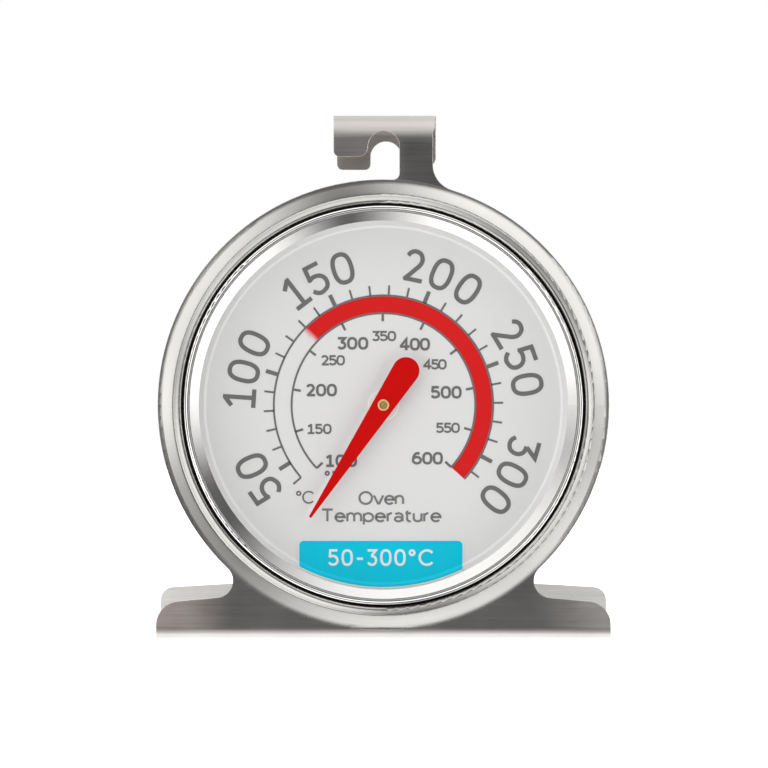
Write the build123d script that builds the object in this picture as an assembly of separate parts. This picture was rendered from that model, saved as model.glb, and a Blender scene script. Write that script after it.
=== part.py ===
"""Oven thermometer: a round dial head held in a one-piece sheet-metal stand with a hook and a foot.

Frame: millimetres, +Z up, the dial faces -Y, +X to the right of somebody reading the dial.
The origin is on the resting face, under the middle of the whole object.
Depths are measured backwards (+Y) from the front face of the stand's flat sheet.
Radii are measured from the dial's centre.
"""

from build123d import *
from math import cos, pi, radians, sin, tan
import os

# ---- Driving dimensions of the stand -------------------------------------------------------------
SHEET = 0.5                 # thickness of the stand's stainless sheet
RING_R = 31.0               # outer radius of the round face
CENTRE_Z = 32.0             # dial centre above the resting face
TOP_Z = 71.8                # top of the hook
FOOT_HALF = 31.25           # half the foot's width
FOOT_DEPTH = 34.0           # front face of the foot to the back of the rear flange's top
FOOT_BEND = 1.5             # outer radius of the foot's two bends
FRONT_Y = -FOOT_DEPTH / 2

# Front shoulders of the foot, and the rear flange that mirrors them
SHOULDER_Z = 4.83           # shoulder height at the foot's ends
SHOULDER_SLOPE = 5.0        # degrees, rising to the middle
SHOULDER_CORNER = 3.3
SHOULDER_FILLET = 2.33      # between the round face and the shoulder
FLANGE_Z = 6.3              # rear flange height at its ends
FLANGE_CROWN = 1.1          # how much higher it is in the middle
FLANGE_CORNER = 1.8
FLANGE_LEAN = 12.0          # degrees, backwards

# Hook: a strip folded over backwards, with a wire notch in each leg
HOOK_LEFT, HOOK_RIGHT = -6.85, 7.05
HOOK_WAIST_Z = 69.9         # the front leg narrows to the neck's width here
HOOK_DEPTH = 9.0            # front face to rear face of the hook
HOOK_BEND = 3.0             # outer radius of its two bends
NECK_LEFT, NECK_RIGHT = 2.2, 6.8
NECK_INNER_FILLET, NECK_OUTER_FILLET = 0.9, 3.6
NOTCH_R, NOTCH_X, NOTCH_Z = 2.17, 0.05, 67.48
TAB_Z = 66.13               # bottom of the front tab
TAB_CORNER, TAB_MOUTH_CORNER = 0.8, 1.33
REAR_LEFT, REAR_RIGHT = -6.42, 7.25
REAR_NOTCH_R, REAR_NOTCH_X, REAR_NOTCH_Z = 2.11, 0.36, 66.27
REAR_TAB_Z, REAR_LEG_Z = 64.46, 65.0    # bottoms of the rear leg, left and right of its notch
REAR_CORNER, REAR_LEG_CORNER = 0.8, 1.1

# ---- Ring section: where its straight runs meet, as radius and depth, and how each corner is rounded ----
FLAT_INNER_R = 30.9         # the formed band starts here
DISH_R, DISH_ROUND = 30.6, 1.1
VALLEY_R, VALLEY_DEPTH, VALLEY_ROUND = 28.93, 0.93, 0.3
LIP_DEPTH, LIP_ROUND = 0.14, 0.34
COLLAR_IN_R = 27.76
COLLAR_OUT_R = COLLAR_IN_R + LIP_ROUND
SEAT_R = 26.6               # inward seat at the back of the collar, which carries the head

# ---- Head, from the front: bezel, seal, glass, reflector, dial, movement, case, rear cover ----------
GAP = 0.02                  # clearance left between stacked pieces
WALL = 0.4                  # case and cover sheet
BEZEL_OUT_R, BEZEL_IN_R, BEZEL_LIP_R = 27.42, 27.12, 26.95
BEZEL_FRONT, BEZEL_SHEET = 0.12, 0.3
SEAL_T = 0.15
GLASS_R, GLASS_T, GLASS_CHAMFER = 27.08, 1.6, 0.35
GLASS_FRONT = BEZEL_FRONT + BEZEL_SHEET + SEAL_T + 2 * GAP
GLASS_BACK = GLASS_FRONT + GLASS_T
REFLECTOR_T, REFLECTOR_SHEET = 0.6, 0.3
CASE_FRONT = GLASS_BACK + REFLECTOR_T + 2 * GAP     # front of the case's flange
SEAT_DEPTH = CASE_FRONT + WALL + BEZEL_SHEET + 2 * GAP
CASE_R, CASE_STEP_R = 26.5, 25.9                    # outer radii before and after the dial's ledge
LEDGE_DEPTH = 5.05                                  # front of the ledge that carries the dial
CASE_BACK = 12.5
DIAL_R, DIAL_T = 26.0, 0.4
DIAL_BACK = LEDGE_DEPTH - GAP
DIAL_FACE = DIAL_BACK - DIAL_T
DIAL_RIM_R, DIAL_RIM_RISE = 24.4, 0.25              # the dial's raised edge
DIAL_HOLE_R = 1.6
REFLECTOR_IN_R, REFLECTOR_EDGE_R, REFLECTOR_OUT_R = 25.4, 26.65, 26.95
REFLECTOR_DROP = 0.55                               # depth of its sloping face

CASE_HOLE_R = 10.8
COVER_R, COVER_FLANGE_R = 11.2, 14.6
COVER_BACK = 17.6
COVER_RIVET_RING = 13.0
VENT_COUNT, VENT_RING, VENT_R = 8, 6.4, 1.1

# ---- Movement ----------------------------------------------------------------------------------------
ARBOR_R = 0.4
RUNNING = 0.04              # radial clearance of the arbor in its bearings
ARBOR_TIP, ARBOR_END = 2.85, 17.0
BRIDGE_FRONT, BRIDGE_T, BRIDGE_W = 6.4, 0.6, 7.0
BRIDGE_LEG, BRIDGE_TOE = 15.0, 20.5                 # half length of the bridge, and of its feet
BRIDGE_RIVET = 17.8
COIL_IN_R, COIL_PITCH, COIL_HALF_TURNS, COIL_T = 2.2, 1.3, 10, 0.3
COIL_FRONT, COIL_BACK = 12.6, 16.4
COLLET_R = COIL_IN_R - COIL_PITCH / 4 - COIL_T / 2 - GAP

# ---- Pointer -----------------------------------------------------------------------------------------
POINTER_T = 0.3
POINTER_FRONT = 3.1
POINTER_LENGTH, POINTER_TIP_R = 18.5, 0.2
TAIL_LENGTH, TAIL_R = 5.65, 1.87                    # pivot to the centre of the round tail, and its radius
POINTER_REST = -123.2                               # degrees from +X, anticlockwise for the reader
BOSS_R, BOSS_FLANGE_R = 0.78, 1.25

HEAD_AXIS = Axis((0, 0, CENTRE_Z), (0, 1, 0))
SECTION = Plane(origin=(0, FRONT_Y, CENTRE_Z), x_dir=(1, 0, 0), z_dir=(0, 0, 1))   # (radius, depth)
FACE = Plane(origin=(0, FRONT_Y, 0), x_dir=(1, 0, 0), z_dir=(0, -1, 0))            # (x, z), seen from the front
SIDE = Plane(origin=(0, FRONT_Y, 0), x_dir=(0, 1, 0), z_dir=(1, 0, 0))             # (depth, z), seen from +X


def dial_plane(depth):
    """A plane across the dial's axis at that depth: (x, z) from the dial's centre, extruding forwards."""
    return Plane(origin=(0, FRONT_Y + depth, CENTRE_Z), x_dir=(1, 0, 0), z_dir=(0, -1, 0))


def turned(*points):
    """A ring or disc turned about the dial's axis from a closed outline of (radius, depth) points."""
    outline = make_face(Polyline(*points, close=True))
    return revolve(SECTION * outline, HEAD_AXIS)


def slab(sketch, front, thickness):
    """A flat piece across the dial's axis, from a sketch about the dial's centre."""
    return extrude(dial_plane(front + thickness) * sketch, amount=thickness)


def pin(radius, front, back, x=0, z=0):
    """A round pin along the dial's axis, at (x, z) from the dial's centre."""
    return slab(Pos(x, z) * Circle(radius), front, back - front)


def bent_strip(corners, bend, x_from, x_to):
    """A sheet bent along (depth, z) corners of its outer face and extruded in X."""
    outer = FilletPolyline(*corners, radius=bend)
    (d0, z0), (d1, z1), (d2, z2), (d3, z3) = corners
    up = 1 if z1 < z0 else -1
    inner_corners = [
        (d0 + SHEET, z0),
        (d1 + SHEET, z1 + up * SHEET),
        (d2 - SHEET, z2 + up * SHEET),
        (d3 - SHEET, z3),
    ]
    inner = FilletPolyline(*inner_corners, radius=bend - SHEET)
    ends = Line(corners[0], inner_corners[0]) + Line(corners[3], inner_corners[3])
    section = make_face([*outer.edges(), *inner.edges(), *ends.edges()])
    strip = extrude(SIDE * section, amount=x_to - x_from)
    return Pos(x_from, 0, 0) * strip


def corners_near(sketch, *places):
    """The sketch's corner nearest to each (x, z) place."""
    return [sketch.vertices().sort_by_distance(Vector(x, z))[0] for x, z in places]


def notch(x, z, radius, bottom):
    """A round-topped slot from its centre down to bottom."""
    slot_height = z - bottom
    return Pos(x, z) * Circle(radius) + Pos(x, z - slot_height / 2) * Rectangle(2 * radius, slot_height)


# ---- Stand -------------------------------------------------------------------------------------------
def front_blank():
    """The flat part of the stand's front: round face, foot shoulders and neck."""
    rise = FOOT_HALF * tan(radians(SHOULDER_SLOPE))
    foot = make_face(Polyline(
        (-FOOT_HALF, FOOT_BEND),
        (FOOT_HALF, FOOT_BEND),
        (FOOT_HALF, SHOULDER_Z),
        (0, SHOULDER_Z + rise),
        (-FOOT_HALF, SHOULDER_Z),
        close=True,
    ))
    foot_corners = corners_near(foot, (-FOOT_HALF, SHOULDER_Z), (FOOT_HALF, SHOULDER_Z))
    foot = fillet(foot_corners, 0.999 * SHOULDER_CORNER)
    disc = Pos(0, CENTRE_Z) * Circle(RING_R)
    neck_top = TOP_Z - HOOK_BEND
    neck = Pos((NECK_LEFT + NECK_RIGHT) / 2, (CENTRE_Z + neck_top) / 2) * Rectangle(
        NECK_RIGHT - NECK_LEFT, neck_top - CENTRE_Z)
    below_bend = Pos(0, FOOT_BEND - RING_R / 2) * Rectangle(4 * RING_R, RING_R)
    blank = disc + foot + neck - below_bend
    meet_x = 16.3
    meet_z = SHOULDER_Z + rise * (1 - meet_x / FOOT_HALF)
    blank = fillet(corners_near(blank, (-meet_x, meet_z), (meet_x, meet_z)), SHOULDER_FILLET)
    neck_foot = CENTRE_Z + RING_R
    blank = fillet(corners_near(blank, (NECK_LEFT, neck_foot)), NECK_INNER_FILLET)
    blank = fillet(corners_near(blank, (NECK_RIGHT, neck_foot)), NECK_OUTER_FILLET)
    return blank


def ring_section():
    """The formed ring: dished band, valley, rolled lip, collar and the seat under the head."""
    lip_slope = (VALLEY_DEPTH - LIP_DEPTH) / (VALLEY_R - COLLAR_IN_R)
    lip_back = VALLEY_DEPTH + SHEET - lip_slope * (VALLEY_R - COLLAR_OUT_R)
    collar_back = SEAT_DEPTH + SHEET
    front = FilletPolyline(
        (FLAT_INNER_R, 0), (DISH_R, 0), (VALLEY_R, VALLEY_DEPTH), (COLLAR_IN_R, LIP_DEPTH),
        (COLLAR_IN_R, SEAT_DEPTH), radius=(DISH_ROUND, VALLEY_ROUND, LIP_ROUND))
    seat = Polyline(
        (COLLAR_IN_R, SEAT_DEPTH), (SEAT_R, SEAT_DEPTH), (SEAT_R, collar_back), (COLLAR_OUT_R, collar_back),
        (COLLAR_OUT_R, lip_back))
    back = FilletPolyline(
        (COLLAR_OUT_R, lip_back), (VALLEY_R, VALLEY_DEPTH + SHEET), (DISH_R, SHEET), (FLAT_INNER_R, SHEET),
        radius=(VALLEY_ROUND, DISH_ROUND))
    edge = Line((FLAT_INNER_R, SHEET), (FLAT_INNER_R, 0))
    return make_face([*front.edges(), *seat.edges(), *back.edges(), edge])


def hook():
    """The folded strip at the top, its legs cut to their own outlines."""
    low = REAR_TAB_Z - 1
    strip = bent_strip(
        [(0, low), (0, TOP_Z), (HOOK_DEPTH, TOP_Z), (HOOK_DEPTH, low)], HOOK_BEND,
        HOOK_LEFT - 1, REAR_RIGHT + 1)
    taper = HOOK_RIGHT - NECK_RIGHT
    front = make_face(Polyline(
        (HOOK_LEFT, TAB_Z),
        (NECK_LEFT, TAB_Z),
        (NECK_LEFT, low),
        (NECK_RIGHT, low),
        (NECK_RIGHT, HOOK_WAIST_Z - taper),
        (HOOK_RIGHT, HOOK_WAIST_Z + taper),
        (HOOK_RIGHT, TOP_Z + 1),
        (HOOK_LEFT, TOP_Z + 1),
        close=True,
    ))
    front = fillet(corners_near(front, (HOOK_LEFT, TAB_Z)), TAB_CORNER)
    front = front - notch(NOTCH_X, NOTCH_Z, NOTCH_R, low)
    front = fillet(corners_near(front, (NOTCH_X - NOTCH_R, TAB_Z)), TAB_MOUTH_CORNER)
    rear = make_face(Polyline(
        (REAR_LEFT, REAR_TAB_Z),
        (REAR_NOTCH_X, REAR_TAB_Z),
        (REAR_NOTCH_X, REAR_LEG_Z),
        (REAR_RIGHT, REAR_LEG_Z),
        (REAR_RIGHT, TOP_Z + 1),
        (REAR_LEFT, TOP_Z + 1),
        close=True,
    ))
    rear = rear - notch(REAR_NOTCH_X, REAR_NOTCH_Z, REAR_NOTCH_R, low)
    mouth = [(REAR_NOTCH_X - REAR_NOTCH_R, REAR_TAB_Z), (REAR_NOTCH_X + REAR_NOTCH_R, REAR_LEG_Z)]
    rear = fillet(corners_near(rear, (REAR_LEFT, REAR_TAB_Z), *mouth), REAR_CORNER)
    rear = fillet(corners_near(rear, (REAR_RIGHT, REAR_LEG_Z)), REAR_LEG_CORNER)
    half = HOOK_DEPTH / 2
    keep_front = extrude(FACE.offset(-half) * front, amount=half + 1)
    keep_rear = extrude(FACE.offset(-HOOK_DEPTH - 1) * rear, amount=half + 1)
    return (strip & keep_front) + (strip & keep_rear)


def foot():
    """U-shaped foot: the front bend, the base, and a rear flange that leans back under a crowned top edge."""
    lean = tan(radians(FLANGE_LEAN))
    top = FLANGE_Z + FLANGE_CROWN
    heel = FOOT_DEPTH - top * lean
    inner_heel = heel - SHEET * (1 / cos(radians(FLANGE_LEAN)) - lean)
    outer = FilletPolyline((0, FOOT_BEND), (0, 0), (heel, 0), (FOOT_DEPTH, top), radius=0.999 * FOOT_BEND)
    inner = FilletPolyline(
        (SHEET, FOOT_BEND), (SHEET, SHEET), (inner_heel, SHEET), (inner_heel + (top - SHEET) * lean, top),
        radius=0.998 * (FOOT_BEND - SHEET))
    low_end = Line((0, FOOT_BEND), (SHEET, FOOT_BEND))
    high_end = Line((FOOT_DEPTH, top), (inner_heel + (top - SHEET) * lean, top))
    channel = Pos(-FOOT_HALF, 0, 0) * extrude(
        SIDE * make_face([*outer.edges(), *inner.edges(), low_end, high_end]), amount=2 * FOOT_HALF)
    edge = Polyline((-FOOT_HALF, FLANGE_Z), (-FOOT_HALF, -1), (FOOT_HALF, -1), (FOOT_HALF, FLANGE_Z))
    crown = ThreePointArc((FOOT_HALF, FLANGE_Z), (0, top), (-FOOT_HALF, FLANGE_Z))
    outline = make_face([*edge.edges(), crown])
    outline = fillet(corners_near(outline, (-FOOT_HALF, FLANGE_Z), (FOOT_HALF, FLANGE_Z)), FLANGE_CORNER)
    return channel & extrude(FACE.offset(-FOOT_DEPTH - 1) * outline, amount=FOOT_DEPTH + 2)


def stand_frame():
    front = extrude(FACE.offset(-SHEET) * front_blank(), amount=SHEET)
    opening = pin(FLAT_INNER_R, -1, 2)
    ring = revolve(SECTION * ring_section(), HEAD_AXIS)
    return (front - opening) + ring + foot() + hook()


def retaining_ring():
    """Push-on ring behind the collar, dished towards it, that holds the head forwards."""
    front = SEAT_DEPTH + SHEET + GAP
    return turned(
        (CASE_R + GAP, front + 0.35), (COLLAR_OUT_R + 0.4, front), (COLLAR_OUT_R + 0.4, front + 0.4),
        (CASE_R + 0.5, front + 0.75), (CASE_R + 0.5, front + 1.3), (CASE_R + GAP, front + 1.3))


# ---- Head --------------------------------------------------------------------------------------------
def bezel_ring():
    """Bezel with a half-round front edge, crimped behind the case's flange."""
    crimp_front = CASE_FRONT + WALL + GAP
    crimp_back = crimp_front + BEZEL_SHEET
    back = BEZEL_FRONT + BEZEL_SHEET
    crown_r = (BEZEL_OUT_R + BEZEL_LIP_R) / 2
    roll = ThreePointArc((BEZEL_OUT_R, back - 0.05), (crown_r, BEZEL_FRONT), (BEZEL_LIP_R, back - 0.05))
    rest = Polyline(
        (BEZEL_LIP_R, back - 0.05), (BEZEL_LIP_R, back), (BEZEL_IN_R, back), (BEZEL_IN_R, crimp_front),
        (CASE_R + 0.1, crimp_front), (CASE_R + 0.1, crimp_back), (BEZEL_OUT_R, crimp_back),
        (BEZEL_OUT_R, back - 0.05))
    return revolve(SECTION * make_face([roll, *rest.edges()]), HEAD_AXIS)


def lens_seal():
    front = BEZEL_FRONT + BEZEL_SHEET + GAP
    inner = BEZEL_LIP_R - 0.05
    return turned((inner, front), (GLASS_R, front), (GLASS_R, front + SEAL_T), (inner, front + SEAL_T))


def glass_lens():
    """Flat glass with a ground chamfer round both faces."""
    front, back, edge = GLASS_FRONT, GLASS_BACK, GLASS_R - GLASS_CHAMFER
    depth = GLASS_CHAMFER / 2
    return turned(
        (0, front), (edge, front), (GLASS_R, front + depth), (GLASS_R, back - depth), (edge, back), (0, back))


def reflector_ring():
    """Bright spun ring between the glass and the dial's rim: a sloping face with a skirt at each edge."""
    front = GLASS_BACK + GAP
    back = DIAL_FACE - DIAL_RIM_RISE - GAP
    t = REFLECTOR_SHEET
    inner_corner = front + REFLECTOR_DROP
    return turned(
        (REFLECTOR_EDGE_R, front), (REFLECTOR_OUT_R, front), (REFLECTOR_OUT_R, front + REFLECTOR_T),
        (REFLECTOR_OUT_R - t, front + REFLECTOR_T), (REFLECTOR_OUT_R - t, front + t),
        (REFLECTOR_IN_R + t, inner_corner + t), (REFLECTOR_IN_R + t, back), (REFLECTOR_IN_R, back),
        (REFLECTOR_IN_R, inner_corner))


def dial_plate():
    rim_face = DIAL_FACE - DIAL_RIM_RISE
    ramp = 0.35
    disc = turned(
        (DIAL_HOLE_R, DIAL_FACE), (DIAL_RIM_R, DIAL_FACE), (DIAL_RIM_R + ramp, rim_face), (DIAL_R, rim_face),
        (DIAL_R, DIAL_BACK), (DIAL_HOLE_R, DIAL_BACK))
    return disc


def dial_eyelet():
    """Eyelet that lines the dial's centre hole: the pale disc behind the pointer."""
    flange_r, flange_t, bore_r, barrel_r = 2.1, 0.22, 1.1, DIAL_HOLE_R - GAP
    front = DIAL_FACE - flange_t - GAP
    back = DIAL_BACK + 0.35
    return turned(
        (bore_r, front + 0.08), (bore_r + 0.08, front), (flange_r - 0.1, front), (flange_r, front + 0.1),
        (flange_r, DIAL_FACE - GAP), (barrel_r, DIAL_FACE - GAP), (barrel_r, back), (bore_r, back))


def head_case():
    """Drawn cup: flange under the bezel, ledge for the dial, and a floor with a hole for the coil."""
    ledge_back = LEDGE_DEPTH + WALL
    flange_r, corner = 27.05, 1.2
    inner, inner_step = CASE_R - WALL, CASE_STEP_R - WALL
    section = make_face([
        *Polyline(
            (CASE_HOLE_R, CASE_BACK - WALL), (inner_step - corner, CASE_BACK - WALL),
        ).edges(),
        ThreePointArc(
            (inner_step - corner, CASE_BACK - WALL),
            (inner_step - corner * (1 - sin(pi / 4)), CASE_BACK - WALL - corner * (1 - cos(pi / 4))),
            (inner_step, CASE_BACK - WALL - corner)),
        *Polyline(
            (inner_step, CASE_BACK - WALL - corner), (inner_step, LEDGE_DEPTH), (inner, LEDGE_DEPTH),
            (inner, CASE_FRONT), (flange_r, CASE_FRONT), (flange_r, CASE_FRONT + WALL),
            (CASE_R, CASE_FRONT + WALL), (CASE_R, ledge_back), (CASE_STEP_R, ledge_back),
            (CASE_STEP_R, CASE_BACK - WALL - corner),
        ).edges(),
        ThreePointArc(
            (CASE_STEP_R, CASE_BACK - WALL - corner),
            (CASE_STEP_R - (corner + WALL) * (1 - sin(pi / 4)), CASE_BACK - (corner + WALL) * (1 - cos(pi / 4))),
            (CASE_STEP_R - corner - WALL, CASE_BACK)),
        *Polyline(
            (CASE_STEP_R - corner - WALL, CASE_BACK), (CASE_HOLE_R, CASE_BACK),
            (CASE_HOLE_R, CASE_BACK - WALL),
        ).edges(),
    ])
    case = revolve(SECTION * section, HEAD_AXIS)
    for x, z in bridge_rivet_places() + cover_rivet_places():
        case -= pin(RIVET_R + GAP, CASE_BACK - 1, CASE_BACK + 1, x, z)
    return case


def rear_cover():
    """Drawn cap over the coil, with a ring of vents so that the oven's air reaches it."""
    front = CASE_BACK + GAP
    corner = 1.0
    inner = COVER_R - WALL
    section = make_face([
        *Polyline(
            (REAR_BEARING_R + GAP, COVER_BACK), (COVER_R - corner - WALL, COVER_BACK),
        ).edges(),
        ThreePointArc(
            (COVER_R - corner - WALL, COVER_BACK),
            (COVER_R - (corner + WALL) * (1 - sin(pi / 4)), COVER_BACK - (corner + WALL) * (1 - cos(pi / 4))),
            (COVER_R, COVER_BACK - corner - WALL)),
        *Polyline(
            (COVER_R, COVER_BACK - corner - WALL), (COVER_R, front + WALL), (COVER_FLANGE_R, front + WALL),
            (COVER_FLANGE_R, front), (inner, front), (inner, COVER_BACK - corner - WALL),
        ).edges(),
        ThreePointArc(
            (inner, COVER_BACK - corner - WALL),
            (inner - corner * (1 - sin(pi / 4)), COVER_BACK - WALL - corner * (1 - cos(pi / 4))),
            (inner - corner, COVER_BACK - WALL)),
        *Polyline(
            (inner - corner, COVER_BACK - WALL), (REAR_BEARING_R + GAP, COVER_BACK - WALL),
            (REAR_BEARING_R + GAP, COVER_BACK),
        ).edges(),
    ])
    cover = revolve(SECTION * section, HEAD_AXIS)
    for i in range(VENT_COUNT):
        angle = 2 * pi * (i + 0.5) / VENT_COUNT
        cover -= pin(VENT_R, COVER_BACK - 1, COVER_BACK + 1, VENT_RING * cos(angle), VENT_RING * sin(angle))
    for x, z in cover_rivet_places():
        cover -= pin(RIVET_R + GAP, front - 1, front + 1, x, z)
    x, z = anchor_place()
    cover -= pin(STUD_NECK_R + GAP, COVER_BACK - 1, COVER_BACK + 1, x, z)
    return cover


# ---- Rivets ------------------------------------------------------------------------------------------
RIVET_R, RIVET_HEAD_R, RIVET_HEAD_T = 0.8, 1.4, 0.5


def bridge_rivet_places():
    return [(side * BRIDGE_RIVET, 0) for side in (-1, 1)]


def cover_rivet_places():
    angles = [radians(a) for a in (30, 150, 270)]
    return [(COVER_RIVET_RING * cos(a), COVER_RIVET_RING * sin(a)) for a in angles]


def rivet(x, z, front, back):
    """A rivet clamping the sheets between front and back, a domed head on each side."""
    front_seat, back_seat = front - GAP, back + GAP
    rim, crown = 0.15, 0.6 * RIVET_HEAD_R
    section = make_face(Polyline(
        (0, front_seat - RIVET_HEAD_T), (crown, front_seat - RIVET_HEAD_T), (RIVET_HEAD_R, front_seat - rim),
        (RIVET_HEAD_R, front_seat), (RIVET_R, front_seat), (RIVET_R, back_seat), (RIVET_HEAD_R, back_seat),
        (RIVET_HEAD_R, back_seat + rim), (crown, back_seat + RIVET_HEAD_T), (0, back_seat + RIVET_HEAD_T),
        close=True))
    return Pos(x, 0, z) * revolve(SECTION * section, HEAD_AXIS)


def bridge_rivets():
    front, back = CASE_BACK - WALL - GAP - BRIDGE_T, CASE_BACK
    return Compound(children=[rivet(x, z, front, back) for x, z in bridge_rivet_places()])


def cover_rivets():
    front, back = CASE_BACK - WALL, CASE_BACK + GAP + WALL
    return Compound(children=[rivet(x, z, front, back) for x, z in cover_rivet_places()])


# ---- Movement ----------------------------------------------------------------------------------------
FRONT_BEARING_R, REAR_BEARING_R, BEARING_SHOULDER = 1.3, 1.1, 0.5
STUD_NECK_R, STUD_R = 0.5, 0.8


def movement_bridge():
    """Stamped bracket riveted to the case's floor; its middle carries the front bearing."""
    foot_front = CASE_BACK - WALL - GAP - BRIDGE_T
    corners = [
        (-BRIDGE_TOE, foot_front), (-BRIDGE_LEG, foot_front), (-BRIDGE_LEG, BRIDGE_FRONT),
        (BRIDGE_LEG, BRIDGE_FRONT), (BRIDGE_LEG, foot_front), (BRIDGE_TOE, foot_front),
    ]
    t = BRIDGE_T
    back = [
        (BRIDGE_TOE, foot_front + t), (BRIDGE_LEG - t, foot_front + t), (BRIDGE_LEG - t, BRIDGE_FRONT + t),
        (-BRIDGE_LEG + t, BRIDGE_FRONT + t), (-BRIDGE_LEG + t, foot_front + t), (-BRIDGE_TOE, foot_front + t),
    ]
    section = make_face(Polyline(*corners, *back, close=True))
    low = Plane(origin=(0, FRONT_Y, CENTRE_Z - BRIDGE_W / 2), x_dir=(1, 0, 0), z_dir=(0, 0, 1))
    bridge = extrude(low * section, amount=BRIDGE_W)
    bridge -= pin(FRONT_BEARING_R + GAP, BRIDGE_FRONT - 1, BRIDGE_FRONT + 2)
    for x, z in bridge_rivet_places():
        bridge -= pin(RIVET_R + GAP, foot_front - 1, CASE_BACK, x, z)
    return bridge


def front_bearing():
    """Flanged brass bush in the bridge."""
    bore = ARBOR_R + RUNNING
    back = BRIDGE_FRONT + BRIDGE_T + 0.5
    flange = BRIDGE_FRONT - GAP
    return turned(
        (bore, flange - 0.4), (FRONT_BEARING_R + BEARING_SHOULDER, flange - 0.4),
        (FRONT_BEARING_R + BEARING_SHOULDER, flange), (FRONT_BEARING_R, flange),
        (FRONT_BEARING_R, back), (bore, back))


def rear_bearing():
    """Brass cup pressed in the middle of the rear cover; it takes the arbor's rear end."""
    bore = ARBOR_R + RUNNING
    flange_front = COVER_BACK - WALL - GAP - 0.5
    flange_r = REAR_BEARING_R + BEARING_SHOULDER
    return turned(
        (0, ARBOR_END + 0.1), (bore, ARBOR_END + 0.1), (bore, flange_front), (flange_r, flange_front),
        (flange_r, COVER_BACK - WALL - GAP), (REAR_BEARING_R, COVER_BACK - WALL - GAP),
        (REAR_BEARING_R, COVER_BACK + 0.2), (0, COVER_BACK + 0.2))


def coil_arcs():
    """Centre x, radius and start angle of each half turn of the coil, from the inside out."""
    arcs = []
    for i in range(COIL_HALF_TURNS):
        lower = i % 2
        centre = COIL_PITCH / 4 if lower else -COIL_PITCH / 4
        arcs.append((centre, COIL_IN_R + i * COIL_PITCH / 2, 180 if lower else 0))
    return arcs


def bimetal_coil():
    """Flat spiral of bimetal strip: half circles about two centres, so that each turn runs into the next."""
    half = COIL_T / 2
    edges = []
    for centre, radius, start in coil_arcs():
        for offset in (-half, half):
            edges.append(CenterArc((centre, 0), radius + offset, start, 180))
    first, last = coil_arcs()[0], coil_arcs()[-1]
    inner_end = first[0] + first[1]
    last_side = 1 if last[2] == 180 else -1
    outer_end = last[0] + last_side * last[1]
    edges.append(Line((inner_end - half, 0), (inner_end + half, 0)))
    edges.append(Line((outer_end - half, 0), (outer_end + half, 0)))
    return slab(make_face(edges), COIL_FRONT, COIL_BACK - COIL_FRONT)


def coil_collet():
    """Brass collet on the arbor; the coil's inner end stands in its slot."""
    collet = turned(
        (ARBOR_R, COIL_FRONT - 0.4), (COLLET_R, COIL_FRONT - 0.4),
        (COLLET_R, COIL_BACK), (ARBOR_R, COIL_BACK))
    return collet


def anchor_place():
    centre, radius, start = coil_arcs()[-1]
    side = 1 if start == 180 else -1
    return centre + side * (radius + COIL_T / 2 + GAP + STUD_R), 0


def anchor_stud():
    """Stud riveted in the rear cover; the coil's outer end is welded to its flat."""
    x, z = anchor_place()
    body = pin(STUD_R, COIL_FRONT + 0.4, COVER_BACK - WALL - GAP, x, z)
    neck = pin(STUD_NECK_R, COIL_BACK, COVER_BACK + 0.05, x, z)
    head = pin(STUD_R + 0.2, COVER_BACK + GAP, COVER_BACK + 0.3, x, z)
    return body + neck + head


# ---- Pointer and arbor ---------------------------------------------------------------------------------
def arbor():
    """Straight brass shaft with a domed front tip and a shoulder that stops it in the front bearing."""
    shoulder_front, shoulder_back = BRIDGE_FRONT + BRIDGE_T + 0.6, BRIDGE_FRONT + BRIDGE_T + 1.4
    shaft = turned(
        (0, ARBOR_TIP), (0.6 * ARBOR_R, ARBOR_TIP + 0.04), (ARBOR_R, ARBOR_TIP + 0.25), (ARBOR_R, shoulder_front),
        (2 * ARBOR_R, shoulder_front), (2 * ARBOR_R, shoulder_back), (ARBOR_R, shoulder_back),
        (ARBOR_R, ARBOR_END - 0.2), (0.5 * ARBOR_R, ARBOR_END), (0, ARBOR_END))
    return shaft


def pointer_boss():
    """Brass boss riveted in the pointer, with a countersunk bore pressed on the arbor."""
    front, flange_back = POINTER_FRONT - 0.12, POINTER_FRONT + POINTER_T + GAP + 0.3
    behind_pointer = POINTER_FRONT + POINTER_T + GAP
    barrel_back = flange_back + 0.35
    return turned(
        (ARBOR_R, front + 0.3), (0.55, front + 0.04), (0.6, front), (BOSS_R - 0.06, front), (BOSS_R, front + 0.06),
        (BOSS_R, behind_pointer), (BOSS_FLANGE_R, behind_pointer), (BOSS_FLANGE_R, flange_back),
        (0.9, flange_back), (0.9, barrel_back), (ARBOR_R, barrel_back))


def pointer():
    """Flat red pointer: a long taper to the tip, and a round tail behind the pivot."""
    tip = Pos(POINTER_LENGTH - POINTER_TIP_R, 0) * Circle(POINTER_TIP_R)
    tail = Pos(-TAIL_LENGTH, 0) * Circle(TAIL_R)
    outline = make_hull([*tip.edges(), *tail.edges()])
    outline -= Circle(BOSS_R + GAP)
    return slab(Rot(0, 0, POINTER_REST) * outline, POINTER_FRONT, POINTER_T)


PIECES = {
    "stand_frame": stand_frame,
    "retaining_ring": retaining_ring,
    "head_case": head_case,
    "rear_cover": rear_cover,
    "cover_rivets": cover_rivets,
    "bezel_ring": bezel_ring,
    "lens_seal": lens_seal,
    "glass_lens": glass_lens,
    "reflector_ring": reflector_ring,
    "dial_plate": dial_plate,
    "dial_eyelet": dial_eyelet,
    "movement_bridge": movement_bridge,
    "bridge_rivets": bridge_rivets,
    "front_bearing": front_bearing,
    "rear_bearing": rear_bearing,
    "anchor_stud": anchor_stud,
    "bimetal_coil": bimetal_coil,
    "coil_collet": coil_collet,
    "arbor": arbor,
    "pointer": pointer,
    "pointer_boss": pointer_boss,
}

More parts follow.
